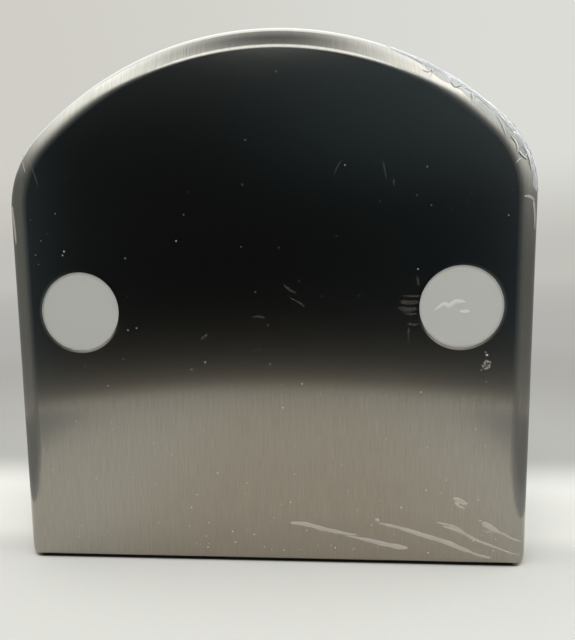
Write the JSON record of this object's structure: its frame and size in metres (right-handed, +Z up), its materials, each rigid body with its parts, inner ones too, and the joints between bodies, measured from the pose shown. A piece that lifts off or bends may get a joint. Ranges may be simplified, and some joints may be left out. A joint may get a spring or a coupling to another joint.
{
  "type": "napkin dispenser",
  "caption": "Arched stainless steel cabinet with a side-hinged front, round sight windows, a cam lock and weighted followers over throats in its base.",
  "frame": {"origin": "on the surface that the cabinet stands on, under the middle of its outer box", "axes": "+Z up, front face towards -Y, +X to the right of someone who faces the front"},
  "size_m": [0.3106, 0.12, 0.3065],
  "materials": {
    "brushed_stainless": "vertical brushed grain, new",
    "mill_stainless": "plain cold rolled mill finish",
    "zinc_plate": "bright zinc plated",
    "chrome_plate": "bright",
    "frosted_pane": "frosted, pale grey",
    "black_plastic": "fine moulded texture",
    "white_plastic": "plain moulded"
  },
  "bodies": {
    "housing": {"housing_shell": "brushed_stainless", "base_tray": "mill_stainless", "centre_divider": "mill_stainless", "rod_rail": "zinc_plate", "lock_strike": "zinc_plate", "hinge_leaf_housing": "brushed_stainless", "hinge_pin": "mill_stainless", "side_guide_left": "mill_stainless", "side_guide_right": "mill_stainless", "throat_insert_left": "black_plastic", "throat_insert_right": "black_plastic", "guide_rod_left": "chrome_plate", "guide_rod_right": "chrome_plate", "hinge_rivet_housing_1": "zinc_plate", "hinge_rivet_housing_2": "zinc_plate", "hinge_rivet_housing_3": "zinc_plate", "hinge_rivet_housing_4": "zinc_plate", "tray_rivet_left_1": "zinc_plate", "tray_rivet_left_2": "zinc_plate", "tray_rivet_right_1": "zinc_plate", "tray_rivet_right_2": "zinc_plate", "strike_rivet_1": "zinc_plate", "strike_rivet_2": "zinc_plate", "tray_rivet_back_left": "zinc_plate", "tray_rivet_back_right": "zinc_plate", "rail_rivet_left": "zinc_plate", "rail_rivet_right": "zinc_plate", "guide_rivet_left": "zinc_plate", "guide_rivet_right": "zinc_plate", "divider_rivet_left": "zinc_plate", "divider_rivet_right": "zinc_plate"},
    "door": {"door_shell": "brushed_stainless", "hinge_leaf_door": "brushed_stainless", "window_pane_left": "frosted_pane", "window_pane_right": "frosted_pane", "window_ring_left": "zinc_plate", "window_ring_right": "zinc_plate", "window_nut_left_1": "zinc_plate", "window_nut_left_2": "zinc_plate", "window_nut_left_3": "zinc_plate", "window_nut_right_1": "zinc_plate", "window_nut_right_2": "zinc_plate", "window_nut_right_3": "zinc_plate", "hinge_rivet_door_1": "zinc_plate", "hinge_rivet_door_2": "zinc_plate", "hinge_rivet_door_3": "zinc_plate", "hinge_rivet_door_4": "zinc_plate", "lock_barrel": "chrome_plate", "lock_nut": "zinc_plate"},
    "lock": {"lock_plug": "chrome_plate", "lock_cam": "zinc_plate", "cam_screw": "zinc_plate"},
    "follower_left": {"follower_plate_left": "zinc_plate", "follower_bush_left": "white_plastic"},
    "follower_right": {"follower_plate_right": "zinc_plate", "follower_bush_right": "white_plastic"}
  },
  "joints": [
    {"name": "door_hinge", "type": "hinge", "parent": "housing", "child": "door", "pos_m": [-0.1528, -0.01, 0.1055], "axis": [0, 0, -1], "range_deg": [0, 120]},
    {"name": "lock_turn", "type": "hinge", "parent": "door", "child": "lock", "pos_m": [0.15, -0.026, 0.1895], "axis": [1, 0, 0], "range_deg": [0, 90]},
    {"name": "follower_left_slide", "type": "slide", "parent": "housing", "child": "follower_left", "axis": [0, 0, 1], "range_m": [0, 0.137]},
    {"name": "follower_right_slide", "type": "slide", "parent": "housing", "child": "follower_right", "axis": [0, 0, 1], "range_m": [0, 0.137]}
  ]
}
